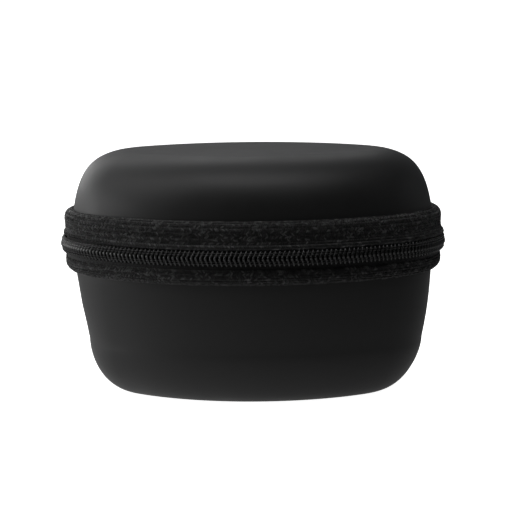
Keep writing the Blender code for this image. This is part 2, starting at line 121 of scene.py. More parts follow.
def addSky():
    # white to the camera; as light it is dim, and darkest on the side where the camera stands
    world = bpy.data.worlds.new("studioSky")
    bpy.context.scene.world = world
    world.use_nodes = True
    tree = world.node_tree
    tree.nodes.clear()
    heading = addNode(tree, "ShaderNodeTexCoord").outputs["Generated"]
    facing = addNode(tree, "ShaderNodeSeparateXYZ", {0: heading}).outputs["Y"]
    shade = rangeNode(tree, facing, studio["frontSky"], studio["sky"], studio["darkFrom"], studio["darkTo"],
                      interpolation_type="SMOOTHSTEP")
    dim = addNode(tree, "ShaderNodeBackground", {"Color": studio["skyTint"], "Strength": shade})
    bright = addNode(tree, "ShaderNodeBackground", {"Color": (1, 1, 1, 1), "Strength": studio["backdrop"]})
    seen = addNode(tree, "ShaderNodeLightPath").outputs["Is Camera Ray"]
    pick = addNode(tree, "ShaderNodeMixShader", {0: seen, 1: dim.outputs[0], 2: bright.outputs[0]})
    addNode(tree, "ShaderNodeOutputWorld", {0: pick.outputs[0]})


def addFloor():
    # white to the camera; as light the paper glows most close to the case
    half, low = studio["floorHalf"], -studio["floorDrop"]
    sheet = bpy.data.meshes.new("floor")
    corners = [(-half, -half, low), (half, -half, low), (half, half, low), (-half, half, low)]
    sheet.from_pydata(corners, [], [(0, 1, 2, 3)])
    paper = bpy.data.materials.new("paleFloor")
    paper.use_nodes = True
    tree = paper.node_tree
    place = addNode(tree, "ShaderNodeNewGeometry").outputs["Position"]
    spread = addNode(tree, "ShaderNodeVectorMath", {0: place, 1: studio["glowCentre"]}, operation="DISTANCE")
    glow = rangeNode(tree, spread.outputs["Value"], studio["floorGlow"], 0.0, 0.0, studio["glowReach"],
                     interpolation_type="SMOOTHSTEP")
    seen = addNode(tree, "ShaderNodeLightPath").outputs["Is Camera Ray"]
    shader = tree.nodes["Principled BSDF"]
    for socket, value in (("Roughness", 0.9), ("Specular IOR Level", 0.1), ("Emission Color", (1, 1, 1, 1))):
        shader.inputs[socket].default_value = value
    for socket, low, high in (("Base Color", studio["floorBounce"], studio["floorTone"]),
                              ("Emission Strength", glow, studio["floorFill"])):
        tree.links.new(rangeNode(tree, seen, low, high), shader.inputs[socket])
    sheet.materials.append(paper)
    addLinked("floor", sheet)


addCamera()
addSky()
addFloor()
for softbox in softboxes:
    addSoftbox(*softbox)
bpy.context.scene.view_settings.view_transform = "Standard"
print("stage: camera, floor and lights")

# the rail that every wall follows: an oval of four tangent arcs, in millimetres
rail = {"halfLength": 85.2, "halfDepth": 59.2, "endRadius": 45.2}
rail["endX"] = rail["halfLength"] - rail["endRadius"]
rail["longRadius"] = (rail["endX"] ** 2 + rail["halfDepth"] ** 2 - rail["endRadius"] ** 2) / (
    2 * (rail["halfDepth"] - rail["endRadius"])
)
rail["longY"] = rail["longRadius"] - rail["halfDepth"]
rail["turn"] = math.degrees(math.atan2(rail["longY"], rail["endX"]))
parting = joints["lid_open"]["pos_m"][2] / mm
zipStart, zipEnd = 111.0, 429.0  # where the zip's chain begins and ends, in degrees round from +X
stripHalf = 15.5


def railAt(deg, n):
    turn = deg % 360.0
    rad = math.radians(turn)
    if rail["turn"] < turn < 180 - rail["turn"]:
        cx, cy, r = 0.0, -rail["longY"], rail["longRadius"]
    elif 180 + rail["turn"] < turn < 360 - rail["turn"]:
        cx, cy, r = 0.0, rail["longY"], rail["longRadius"]
    elif 90 < turn < 270:
        cx, cy, r = -rail["endX"], 0.0, rail["endRadius"]
    else:
        cx, cy, r = rail["endX"], 0.0, rail["endRadius"]
    return cx + (r + n) * math.cos(rad), cy + (r + n) * math.sin(rad)


def railAngles(start, end, step):
    # angles about step millimetres apart along the rail
    found, deg = [start], start
    while deg < end - 1e-6:
        turn = deg % 180.0
        radius = rail["longRadius"] if rail["turn"] < turn < 180 - rail["turn"] else rail["endRadius"]
        deg += math.degrees(step / radius)
        found.append(min(deg, end))
    if len(found) > 2 and found[-1] - found[-2] < 0.25 * (found[-2] - found[-3]):
        found.pop(-2)
    return found


def railRun(turns):
    # each angle with its distance along the rail from the first, in millimetres
    found, along, last = [], 0.0, None
    for turn in turns:
        here = Vector(railAt(turn, 0.0))
        along += (here - last).length if last is not None else 0.0
        last = here
        found.append((turn, along))
    return found


def addObject(name, mesh, material):
    mesh.materials.clear()
    mesh.materials.append(material)
    for face in mesh.polygons:
        face.use_smooth = True
    return addLinked(name, mesh)


def addCloth(name, verts, faces, marks, material):
    # a mesh with its UV map in metres: along the cloth, then across it
    mesh = bpy.data.meshes.new(name)
    mesh.from_pydata(verts, [], faces)
    layer = mesh.uv_layers.new(name="UVMap")
    for loop, (u, v) in zip(layer.data, marks):
        loop.uv = (u * mm, v * mm)
    fixNormals(mesh)
    return addObject(name, mesh, material)


def curvePoints(a, b, c, d, steps):
    # points from b towards c on the smooth curve through all four
    found = []
    for s in range(steps):
        t = s / steps
        found.append(tuple(
            0.5 * (2 * q + (r - p) * t + (2 * p - 5 * q + 4 * r - w) * t * t + (3 * q - p - 3 * r + w) * t**3)
            for p, q, r, w in zip(a, b, c, d)
        ))
    return found


def closedCurve(points, steps):
    found, count = [], len(points)
    for k in range(count):
        found += curvePoints(*(points[(k + j) % count] for j in (-1, 0, 1, 2)), steps)
    return found


def openCurve(points, steps):
    ends = [tuple(2 * p - q for p, q in zip(points[0], points[1]))] + list(points)
    ends.append(tuple(2 * p - q for p, q in zip(points[-1], points[-2])))
    found = []
    for k in range(1, len(ends) - 2):
        found += curvePoints(*ends[k - 1 : k + 3], steps)
    return found + [tuple(points[-1])]


def sweepRail(name, section, start, end, step, material, wobble=None):
    # a closed section of (offset, height) run along the rail
    whole = end - start > 359.9
    turns = railAngles(start, end, step)
    if whole:
        turns = turns[:-1]
    verts, alongs = [], []
    for turn, along in railRun(turns):
        alongs.append(along)
        for n, z in section:
            push, lift = wobble(turn, along, n, z) if wobble else (0.0, 0.0)
            x, y = railAt(turn, n + push)
            verts.append((x * mm, y * mm, (z + lift) * mm))
    size, rows = len(section), len(turns)
    across = [0.0]
    for k in range(size):
        (a, b), (c, d) = section[k], section[(k + 1) % size]
        across.append(across[-1] + math.hypot(c - a, d - b))
    faces, marks = [], []
    closing = (Vector(railAt(turns[0], 0.0)) - Vector(railAt(turns[-1], 0.0))).length
    for i in range(rows if whole else rows - 1):
        j = (i + 1) % rows
        uA, uB = alongs[i], alongs[j] if j else alongs[i] + closing
        for k in range(size):
            m = (k + 1) % size
            faces.append((i * size + k, j * size + k, j * size + m, i * size + m))
            marks += [(uA, across[k]), (uB, across[k]), (uB, across[k + 1]), (uA, across[k + 1])]
    if not whole:
        for row in (0, rows - 1):
            ring = [row * size + k for k in range(size)]
            faces.append(ring if row else ring[::-1])
            marks += [(alongs[row], across[k % size]) for k in (range(size) if row else range(size - 1, -1, -1))]
    return addCloth(name, verts, faces, marks, material)


def fixNormals(mesh):
    work = bmesh.new()
    work.from_mesh(mesh)
    bmesh.ops.remove_doubles(work, verts=work.verts, dist=1e-7)
    bmesh.ops.recalc_face_normals(work, faces=work.faces)
    work.to_mesh(mesh)
    work.free()


# materials
def startMaterial(name, color, roughness, specular=0.5, sheen=0.0):
    made = bpy.data.materials.new(name)
    made.use_nodes = True
    shader = made.node_tree.nodes["Principled BSDF"]
    for socket, value in (("Base Color", (*color, 1)), ("Roughness", roughness), ("Specular IOR Level", specular),
                          ("Sheen Weight", sheen), ("Sheen Roughness", 0.4)):
        shader.inputs[socket].default_value = value
    return made, made.node_tree


def endMaterial(made, sources):
    shader = made.node_tree.nodes["Principled BSDF"]
    for socket, source in sources.items():
        made.node_tree.links.new(source, shader.inputs[socket])
    return made


def mathNode(tree, operation, a, b=0.0, c=0.0):
    return addNode(tree, "ShaderNodeMath", {0: a, 1: b, 2: c}, operation=operation).outputs[0]


def sumNode(tree, *terms):
    # the sum of (socket, weight) pairs
    total = mathNode(tree, "MULTIPLY", *terms[0])
    for term in terms[1:]:
        total = mathNode(tree, "ADD", total, mathNode(tree, "MULTIPLY", *term))
    return total


def ribNode(tree, place, pitch):
    return mathNode(tree, "SINE", mathNode(tree, "MULTIPLY", place, 2 * math.pi / pitch))


def noiseNode(tree, place, scale, detail=2.0, rough=0.5):
    inputs = {"Vector": place, "Scale": scale, "Detail": detail, "Roughness": rough}
    return addNode(tree, "ShaderNodeTexNoise", inputs).outputs["Fac"]


def rampNode(tree, value, stops):
    node = addNode(tree, "ShaderNodeValToRGB", {"Fac": value})
    ramp = node.color_ramp.elements
    for element, (place, color) in zip(ramp, (stops[0], stops[-1])):
        element.position, element.color = place, (*color, 1)
    for place, color in stops[1:-1]:
        ramp.new(place).color = (*color, 1)
    return node.outputs["Color"]


def mixNode(tree, share, first, second):
    node = addNode(tree, "ShaderNodeMix", {0: share}, data_type="RGBA")
    if isinstance(first, bpy.types.NodeSocket):
        tree.links.new(first, node.inputs["A"])
    else:
        node.inputs["A"].default_value = first
    node.inputs["B"].default_value = second
    return node.outputs["Result"]


def bumpNode(tree, height, distance, strength=1.0, under=None):
    inputs = {"Height": height, "Distance": distance, "Strength": strength}
    if under is not None:
        inputs["Normal"] = under
    return addNode(tree, "ShaderNodeBump", inputs).outputs["Normal"]


def gray(level, tint=0.0):
    return (level, level, level * (1 + tint))


def grays(*stops):
    return [(place, gray(level)) for place, level in stops]


def objectPlace(tree):
    return addNode(tree, "ShaderNodeTexCoord").outputs["Object"]


def uvParts(tree):
    # the piece's own map: metres along the cloth, then metres across it
    place = addNode(tree, "ShaderNodeTexCoord").outputs["UV"]
    parts = addNode(tree, "ShaderNodeSeparateXYZ", {0: place})
    return place, parts.outputs["X"], parts.outputs["Y"]


skin = {
    "tone": 0.0085, "roughness": 0.5, "specular": 0.3, "grain": 1500.0, "polish": (-0.035, 0.045),
    "speckScale": 95.0, "speckSize": 0.022, "speckRare": 0.962, "specks": 0.6, "dust": (0.16, 0.16, 0.155, 1),
}


def makeSkin():
    # coated foam: a fine matte grain, slow drifts of polish, a few caught dust specks
    tone, rough = skin["tone"], skin["roughness"]
    made, tree = startMaterial("softTouchSkin", gray(tone), rough, skin["specular"])
    place = objectPlace(tree)
    drift = noiseNode(tree, place, 28.0, 3.0, 0.55)
    fine = noiseNode(tree, place, skin["grain"], 3.0, 0.6)
    cells = addNode(tree, "ShaderNodeTexVoronoi", {"Vector": place, "Scale": skin["speckScale"], "Randomness": 1.0})
    near = mathNode(tree, "LESS_THAN", cells.outputs["Distance"], skin["speckSize"])
    chosen = addNode(tree, "ShaderNodeSeparateColor", {0: cells.outputs["Color"]})
    few = mathNode(tree, "GREATER_THAN", chosen.outputs[0], skin["speckRare"])
    speck = mathNode(tree, "MULTIPLY", near, few)
    base = rampNode(tree, drift, [(0.3, gray(tone * 0.9)), (0.7, gray(tone * 1.12, 0.02))])
    soft = bumpNode(tree, noiseNode(tree, place, 130.0, 2.0), 0.00006, 0.5)
    return endMaterial(made, {
        "Base Color": mixNode(tree, mathNode(tree, "MULTIPLY", speck, skin["specks"]), base, skin["dust"]),
        "Roughness": rangeNode(tree, drift, rough + skin["polish"][0], rough + skin["polish"][1], 0.3, 0.7),
        "Normal": bumpNode(tree, fine, 0.000035, 0.55, soft),
    })


# the tape body is painted far darker than the yarn floats on it: painted shade in the gaps between floats
weave = {"tone": 0.003, "yarn": 0.011, "rib": 0.00082, "row": 0.0019, "weft": 0.00062, "waver": 0.00042}


def makeWeave(name, tone):
    # herringbone tape: slanting yarns that turn back row by row, with slubs; the colour is painted darker in the
    # grooves and lighter on the yarn crests, as painted shade and highlight
    made, tree = startMaterial(name, gray(tone), 0.78, 0.3, 0.25)
    place, along, across = uvParts(tree)
    shake = noiseNode(tree, place, 420.0, 2.0)
    slant = mathNode(tree, "PINGPONG", across, weave["row"])
    waver = mathNode(tree, "MULTIPLY", mathNode(tree, "SUBTRACT", shake, 0.5), weave["waver"])
    run = mathNode(tree, "ADD", mathNode(tree, "ADD", along, slant), waver)
    cloth = sumNode(tree, (ribNode(tree, run, weave["rib"]), 0.5), (ribNode(tree, across, weave["weft"]), 0.22))
    slubs = noiseNode(tree, place, 900.0, 3.0, 0.65)
    patches = noiseNode(tree, place, 260.0, 3.0, 0.6)
    height = sumNode(tree, (cloth, 1.0), (slubs, 1.5))
    # painted shade and highlight: the colour follows the height of the ribs and slubs, darker low and lighter high,
    # mixed with random patches of tone
    lit = sumNode(tree, (height, 0.26), (patches, 0.9))
    lumps = bumpNode(tree, patches, 0.00030, 0.6)
    return endMaterial(made, {
        "Base Color": rampNode(tree, lit, grays((0.25, tone * 0.35), (0.62, tone * 1.05), (1.0, tone * 2.6))),
        "Normal": bumpNode(tree, height, 0.00020, 0.95, lumps),
    })


def makeYarn(name, tone):
    # spun yarn: each float its own tone at random, the brightest few painted as glints, with a fine twist
    made, tree = startMaterial(name, gray(tone), 0.72, 0.25, 0.2)
    place = objectPlace(tree)
    each = addNode(tree, "ShaderNodeNewGeometry").outputs["Random Per Island"]
    mixed = sumNode(tree, (each, 0.75), (noiseNode(tree, place, 330.0, 2.0), 0.4))
    # painted highlight: the top of the ramp makes a few floats far brighter, as glints; the rest is random tone
    stops = grays((0.25, tone * 0.12), (0.6, tone * 0.5), (0.78, tone * 2.0), (0.95, tone * 8.0))
    return endMaterial(made, {
        "Base Color": rampNode(tree, mixed, stops),
        "Normal": bumpNode(tree, noiseNode(tree, place, 2600.0, 2.0, 0.6), 0.00012, 0.8),
    })


def makeGrosgrain():
    # ribbed binding tape, its ribs across the run
    made, tree = startMaterial("grosgrainBinding", gray(0.016), 0.75, 0.3, 0.2)
    place, along, across = uvParts(tree)
    height = sumNode(tree, (ribNode(tree, along, 0.0007), 0.5), (noiseNode(tree, place, 1400.0, 2.0), 1.0))
    return endMaterial(made, {
        "Base Color": rampNode(tree, height, grays((0.0, 0.008), (1.0, 0.028))),
        "Normal": bumpNode(tree, height, 0.00018, 0.8),
    })


def makeLining():
    # brushed knit: short pile leaning in patches
    made, tree = startMaterial("brushedLining", gray(0.03, 0.05), 0.95, 0.15, 0.6)
    place = objectPlace(tree)
    pile = noiseNode(tree, place, 2600.0, 3.0, 0.7)
    nap = sumNode(tree, (pile, 0.5), (noiseNode(tree, place, 60.0, 4.0, 0.6), 0.6))
    return endMaterial(made, {
        "Base Color": rampNode(tree, nap, [(0.35, gray(0.018, 0.05)), (0.8, gray(0.052, 0.05))]),
        "Normal": bumpNode(tree, pile, 0.00025, 0.8),
    })


def makeNylon():
    # drawn monofilament: glossy, faintly streaked along its length
    made, tree = startMaterial("nylonCoil", gray(0.0045), 0.2, 0.6)
    place = objectPlace(tree)
    streak = noiseNode(tree, place, 700.0, 2.0)
    return endMaterial(made, {
        "Base Color": rampNode(tree, streak, grays((0.3, 0.003), (0.7, 0.007))),
        "Roughness": rangeNode(tree, streak, 0.15, 0.27),
        "Normal": bumpNode(tree, noiseNode(tree, place, 1600.0), 0.00003, 0.5),
    })


def makeThread(name, tone):
    # spun polyester thread, its plies a fine twist
    made, tree = startMaterial(name, gray(tone), 0.6, 0.4, 0.3)
    inputs = {"Vector": objectPlace(tree), "Scale": 1300.0, "Distortion": 1.5}
    twist = addNode(tree, "ShaderNodeTexWave", inputs, bands_direction="DIAGONAL").outputs["Fac"]
    return endMaterial(made, {
        "Base Color": rampNode(tree, twist, grays((0.0, tone * 0.6), (1.0, tone * 1.5))),
        "Normal": bumpNode(tree, twist, 0.00008, 0.7),
    })


def makeElastic():
    # gathered elastic: rubber cords under a puckered knit
    made, tree = startMaterial("elasticHem", gray(0.018), 0.8, 0.3, 0.3)
    place, along, across = uvParts(tree)
    height = sumNode(tree, (ribNode(tree, across, 0.0011), 0.6), (ribNode(tree, along, 0.0006), 0.3))
    half = mathNode(tree, "MULTIPLY_ADD", height, 0.5, 0.5)
    return endMaterial(made, {
        "Base Color": rampNode(tree, half, grays((0.0, 0.009), (1.0, 0.03))),
        "Normal": bumpNode(tree, height, 0.0002, 0.8),
    })


enamel = {"tone": 0.014, "zinc": (0.23, 0.225, 0.215, 1), "edge": (0.53, 0.62), "rubbed": 0.56, "metal": 0.8}


def makeEnamel():
    # black enamel over cast zinc, rubbed at random high spots
    made, tree = startMaterial("blackEnamel", gray(enamel["tone"]), 0.3)
    place = objectPlace(tree)
    rubs = noiseNode(tree, place, 420.0, 5.0, 0.75)
    edge = addNode(tree, "ShaderNodeNewGeometry").outputs["Pointiness"]
    high = rangeNode(tree, edge, 0.0, 1.0, *enamel["edge"])
    worn = mathNode(tree, "MULTIPLY", high, mathNode(tree, "GREATER_THAN", rubs, enamel["rubbed"]))
    return endMaterial(made, {
        "Base Color": mixNode(tree, worn, (*gray(enamel["tone"]), 1), enamel["zinc"]),
        "Metallic": mathNode(tree, "MULTIPLY", worn, enamel["metal"]),
        "Roughness": rangeNode(tree, rubs, 0.2, 0.38, 0.3, 0.7),
        "Normal": bumpNode(tree, noiseNode(tree, place, 900.0, 2.0), 0.00003, 0.5),
    })


looks = {
    "skin": makeSkin(),
    "weave": makeWeave("herringboneTape", weave["tone"]),
    "hingeWeave": makeWeave("hingeCloth", 0.014),
    "grosgrain": makeGrosgrain(),
    "lining": makeLining(),
    "nylon": makeNylon(),
    "yarn": makeYarn("tapeYarn", weave["yarn"]),
    "thread": makeThread("seamThread", 0.018),
    "coilThread": makeThread("coilThread", 0.016),
    "netYarn": makeThread("netYarn", 0.022),
    "elastic": makeElastic(),
    "enamel": makeEnamel(),
}
print("stage: materials")


# moulded shells and linings
shellForm = {
    "baseWallTop": 58.5, "baseWallOffset": -0.7, "baseDraft": 8.9, "baseCornerHeight": 26.0, "baseCornerWidth": 21.5,
    "baseCornerPower": 1.9, "lidWallStart": 88.0, "lidCornerWidth": 29.0, "lidCornerPower": 2.25, "domeRise": 1.6,
    "top": 117.3, "thickness": 3.6, "liningGap": 0.3, "lining": 0.8, "waver": 0.10,
}


def baseWall(steps):
    form = shellForm
    drop = form["baseWallTop"] - form["baseCornerHeight"]
    low = form["baseWallOffset"] - drop * math.tan(math.radians(form["baseDraft"]))
    top = form["baseWallOffset"]
    points = [(top + (low - top) * k / 6, form["baseWallTop"] - drop * k / 6) for k in range(6)]
    power = 2 / form["baseCornerPower"]
    for k in range(steps + 1):
        turn = math.pi / 2 * k / steps
        across = form["baseCornerWidth"] * (1 - max(math.cos(turn), 0.0) ** power)
        points.append((low - across, form["baseCornerHeight"] * (1 - math.sin(turn) ** power)))
    return points


def lidWall(steps):
    form = shellForm
    rise = form["top"] - form["domeRise"] - form["lidWallStart"]
    power = 2 / form["lidCornerPower"]
    points = []
    for k in range(steps + 1):
        turn = math.pi / 2 * k / steps
        across = form["lidCornerWidth"] * (1 - max(math.cos(turn), 0.0) ** power)
        points.append((-across, form["lidWallStart"] + rise * math.sin(turn) ** power))
    return points


def settle(x, y, z):
    # the base bellies a little at one end and tucks in low down at the other; the lid's flanks are drawn in
    if z < 60:
        high = math.sin(math.pi * min(max((z - 12) / 50, 0), 1))
        low = math.sin(math.pi * min(max((z - 2) / 40, 0), 1))
        return 1.45 * high * (max(x, 0) / 85) ** 2 + 0.9 * low * (min(x, 0) / 85) ** 2
    return -1.05 * math.sin(math.pi * min(max((z - 87) / 24, 0), 1)) * (abs(x) / 85) ** 2 * math.copysign(1, x)


def insetWall(profile, depth):
    moved = []
    for k, (n, z) in enumerate(profile):
        a, b = profile[max(k - 1, 0)], profile[min(k + 1, len(profile) - 1)]
        along = Vector((b[0] - a[0], b[1] - a[1])).normalized()
        normal = Vector((-along.y, along.x))
        normal = -normal if normal.x > 0 else normal
        moved.append((n + normal.x * depth, z + normal.y * depth))
    return moved


def domeRings(rise):
    # shrinking rings from the wall's edge towards the middle, level or gently crowned
    return [(1 - k / 9, rise * (1 - (1 - k / 9) ** 2)) for k in range(1, 9)]


def addShell(name, outer, inner, rise, step, material, waver):
    turns = railAngles(0.0, 360.0, step)[:-1]
    verts, faces = [], []

    def ring(n, z, scale=1.0):
        start = len(verts)
        for turn in turns:
            x, y = railAt(turn, n)
            x, y = x * scale, y * scale
            x += settle(x, y, z)
            lift = 0.0
            if waver:
                out = Vector(railAt(turn, n + 1)) - Vector(railAt(turn, n))
                spot = Vector((x, y, z))
                lump = waver * noise.noise(spot * 0.021) + waver * 0.4 * noise.noise(spot * 0.06)
                x, y = x + out.x * lump, y + out.y * lump
                lift = lump if scale < 1.0 and z > 60 else 0.0
            verts.append((x * mm, y * mm, (z + lift) * mm))
        return start

    def skinSide(profile):
        rings = [ring(n, z) for n, z in profile]
        edgeN, edgeZ = profile[-1]
        for scale, lift in domeRings(rise):
            rings.append(ring(edgeN, edgeZ + lift, scale))
        for a, b in zip(rings, rings[1:]):
            for k in range(len(turns)):
                m = (k + 1) % len(turns)
                faces.append((a + k, a + m, b + m, b + k))
        verts.append((0, 0, (edgeZ + rise) * mm))
        middle = len(verts) - 1
        for k in range(len(turns)):
            faces.append((rings[-1] + k, rings[-1] + (k + 1) % len(turns), middle))
        return rings[0]

    a, b = skinSide(outer), skinSide(inner)
    for k in range(len(turns)):
        m = (k + 1) % len(turns)
        faces.append((a + k, a + m, b + m, b + k))
    mesh = bpy.data.meshes.new(name)
    mesh.from_pydata(verts, [], faces)
    fixNormals(mesh)
    return addObject(name, mesh, material)


def finishPiece(piece, body, slotName, *replaced):
    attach(piece, body)
    if replaced:
        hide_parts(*replaced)
    return piece


baseRim = [
    (1.7, 65.5), (1.95, 65.4), (2.05, 65.05), (2.5, 64.6), (2.9, 64.1), (3.08, 63.0), (2.5, 61.7), (1.5, 60.85),
    (0.3, 60.3), (-0.5, 59.7), (-0.7, 59.1),
]
lidRim = [
    (1.7, 77.45), (1.95, 77.6), (2.05, 78.0), (2.7, 79.5), (3.3, 81.5), (3.48, 84.0), (3.0, 85.5), (1.6, 86.2),
    (0.5, 86.4), (0.08, 86.9), (0.0, 87.5),
]
thick, crown, waver = shellForm["thickness"], shellForm["domeRise"], shellForm["waver"]
outerDepth = thick + shellForm["liningGap"]
innerDepth = outerDepth + shellForm["lining"]


def baseInside(depth, steps):
    return [(-depth, 65.5), (-depth, 60.0)] + insetWall(baseWall(steps), depth)[1:]


def lidInside(depth, steps):
    return [(-depth, 77.45)] + insetWall(lidWall(steps), depth)


for name, body, slotName, node, outer, inner, rise, step, material, lumps in (
    ("baseShellSkin", "base", "moulded_shell", "base_shell", baseRim + baseWall(26), baseInside(thick, 10), 0.0, 2.0,
     "skin", waver),
    ("lidShellSkin", "lid", "moulded_shell", "lid_shell", lidRim + lidWall(30), lidInside(thick, 12), crown, 2.0,
     "skin", waver),
    ("baseLining", "base", "brushed_lining", "base_lining", baseInside(outerDepth, 14), baseInside(innerDepth, 14), 0.0,
     3.0, "lining", 0.0),
    ("lidLining", "lid", "brushed_lining", "lid_lining", lidInside(outerDepth, 14), lidInside(innerDepth, 14), crown,
     3.0, "lining", 0.0),
):
    finishPiece(addShell(name, outer, inner, rise, step, looks[material], lumps), body, slotName, node)
print("stage: shells and linings")


# repeated parts and threads, by geometry nodes
def startTree(name, sockets):
    tree = bpy.data.node_groups.new(name, "GeometryNodeTree")
    for label, kind in sockets:
        tree.interface.new_socket(label, in_out="INPUT", socket_type=kind)
    tree.interface.new_socket("Geometry", in_out="OUTPUT", socket_type="NodeSocketGeometry")
    return tree, tree.nodes.new("NodeGroupInput"), tree.nodes.new("NodeGroupOutput")


def endTree(tree, body, finish, end):
    # real geometry, smooth, in its material
    solid = addNode(tree, "GeometryNodeRealizeInstances", {0: body})
    smooth = addNode(tree, "GeometryNodeSetShadeSmooth", {0: solid.outputs[0]})
    done = addNode(tree, "GeometryNodeSetMaterial", {"Geometry": smooth.outputs[0], "Material": finish})
    tree.links.new(done.outputs[0], end.inputs[0])
    return tree


def repeatTree():
    # one unit at even steps along the guide, its X along the run, each copy a little different
    tree, start, end = startTree("repeatAlongRun", [
        ("Guide", "NodeSocketGeometry"), ("Unit", "NodeSocketObject"), ("Pitch", "NodeSocketFloat"),
        ("Shake", "NodeSocketFloat"), ("Finish", "NodeSocketMaterial"), ("Seed", "NodeSocketInt")])
    given = start.outputs
    run = addNode(tree, "GeometryNodeMeshToCurve", {"Mesh": given["Guide"]})
    inputs = {"Curve": run.outputs[0], "Length": given["Pitch"]}
    spots = addNode(tree, "GeometryNodeCurveToPoints", inputs, mode="LENGTH")
    inputs = {"Vector": spots.outputs["Tangent"]}
    face = addNode(tree, "FunctionNodeAlignRotationToVector", inputs, axis="X", pivot_axis="Z")
    least = addNode(tree, "ShaderNodeMath", {0: given["Shake"], 1: -1.0}, operation="MULTIPLY")
    inputs = {0: least.outputs[0], 1: given["Shake"], "Seed": given["Seed"]}
    sway = addNode(tree, "FunctionNodeRandomValue", inputs, data_type="FLOAT_VECTOR")
    tilt = addNode(tree, "FunctionNodeEulerToRotation", {0: sway.outputs[0]})
    inputs = {0: face.outputs[0], 1: tilt.outputs[0]}
    turned = addNode(tree, "FunctionNodeRotateRotation", inputs, rotation_space="LOCAL")
    unit = addNode(tree, "GeometryNodeObjectInfo", {"Object": given["Unit"]})
    copies = addNode(tree, "GeometryNodeInstanceOnPoints", {
        "Points": spots.outputs["Points"], "Instance": unit.outputs["Geometry"], "Rotation": turned.outputs[0]})
    return endTree(tree, copies.outputs[0], given["Finish"], end)


def threadTree():
    # every edge chain of the guide as a round thread
    tree, start, end = startTree("threadAlongRun", [
        ("Guide", "NodeSocketGeometry"), ("Radius", "NodeSocketFloat"), ("Finish", "NodeSocketMaterial")])
    given = start.outputs
    run = addNode(tree, "GeometryNodeMeshToCurve", {"Mesh": given["Guide"]})
    inputs = {"Resolution": 5, "Radius": given["Radius"]}
    ring = addNode(tree, "GeometryNodeCurvePrimitiveCircle", inputs, mode="RADIUS")
    body = addNode(tree, "GeometryNodeCurveToMesh", {
        "Curve": run.outputs[0], "Profile Curve": ring.outputs[0], "Fill Caps": True})
    return endTree(tree, body.outputs[0], given["Finish"], end)


trees = {"repeat": repeatTree(), "thread": threadTree()}


def applyTree(name, guide, tree, values, material):
    modifier = guide.modifiers.new("run", "NODES")
    modifier.node_group = tree
    for item in tree.interface.items_tree:
        if item.item_type == "SOCKET" and item.in_out == "INPUT" and item.name in values:
            modifier[item.identifier] = values[item.name]
    bpy.context.view_layer.update()
    made = guide.evaluated_get(bpy.context.evaluated_depsgraph_get())
    mesh = bpy.data.meshes.new_from_object(made)
    guide.modifiers.remove(modifier)
    bpy.data.objects.remove(guide, do_unlink=True)
    mesh.name = name
    fixNormals(mesh)
    return addObject(name, mesh, material)


def chainObject(name, chains):
    verts, edges = [], []
    for chain in chains:
        first = len(verts)
        verts += [tuple(v * mm for v in point) for point in chain]
        edges += [(first + k, first + k + 1) for k in range(len(chain) - 1)]
    mesh = bpy.data.meshes.new(name)
    mesh.from_pydata(verts, edges, [])
    return addLinked(name, mesh)


def tubeMesh(name, path, radius, sides, closed=False):
    # a round wire along the path, in millimetres, of one radius or of one at each point
    points = [Vector(p) for p in path]
    count = len(points)
    tangents = []
    for k in range(count):
        a = points[(k - 1) % count] if closed or k else points[0]
        b = points[(k + 1) % count] if closed or k < count - 1 else points[-1]
        tangents.append((b - a).normalized())
    normal = tangents[0].orthogonal().normalized()
    shape, rings = bmesh.new(), []
    for k in range(count):
        normal = (normal - tangents[k] * normal.dot(tangents[k])).normalized()
        side = tangents[k].cross(normal)
        size = radius[k] if isinstance(radius, (list, tuple)) else radius
        rings.append([
            shape.verts.new((points[k] + (normal * math.cos(t) + side * math.sin(t)) * size) * mm)
            for t in (2 * math.pi * j / sides for j in range(sides))
        ])
    pairs = list(zip(rings, rings[1:]))
    if closed:
        first, last = rings[0], rings[-1]
        near = min(range(sides), key=lambda s: (first[s].co - last[0].co).length)
        pairs.append((last, first[near:] + first[:near]))
    for a, b in pairs:
        for j in range(sides):
            shape.faces.new((a[j], a[(j + 1) % sides], b[(j + 1) % sides], b[j]))
    if not closed:
        shape.faces.new(rings[0])
        shape.faces.new(rings[-1])
    bmesh.ops.recalc_face_normals(shape, faces=shape.faces)
    mesh = bpy.data.meshes.new(name)
    shape.to_mesh(mesh)
    shape.free()
    return mesh


def repeatRail(name, unitMesh, start, end, n, z, pitch, material, shake=0.0, seed=1, wobble=None):
    # copies of a unit along the rail, at one offset and height
    line = []
    for turn, along in railRun(railAngles(start, end, 0.8)):
        push, lift = wobble(turn, along, n, z) if wobble else (0.0, 0.0)
        line.append((*railAt(turn, n + push), z + lift))
    guide = chainObject(name + "Guide", [line])
    unit = addObject(name + "Unit", unitMesh, material)
    values = {"Unit": unit, "Pitch": pitch * mm, "Shake": shake, "Finish": material, "Seed": seed}
    made = applyTree(name, guide, trees["repeat"], values, material)
    bpy.data.objects.remove(unit, do_unlink=True)
    return made


print("stage: node trees")

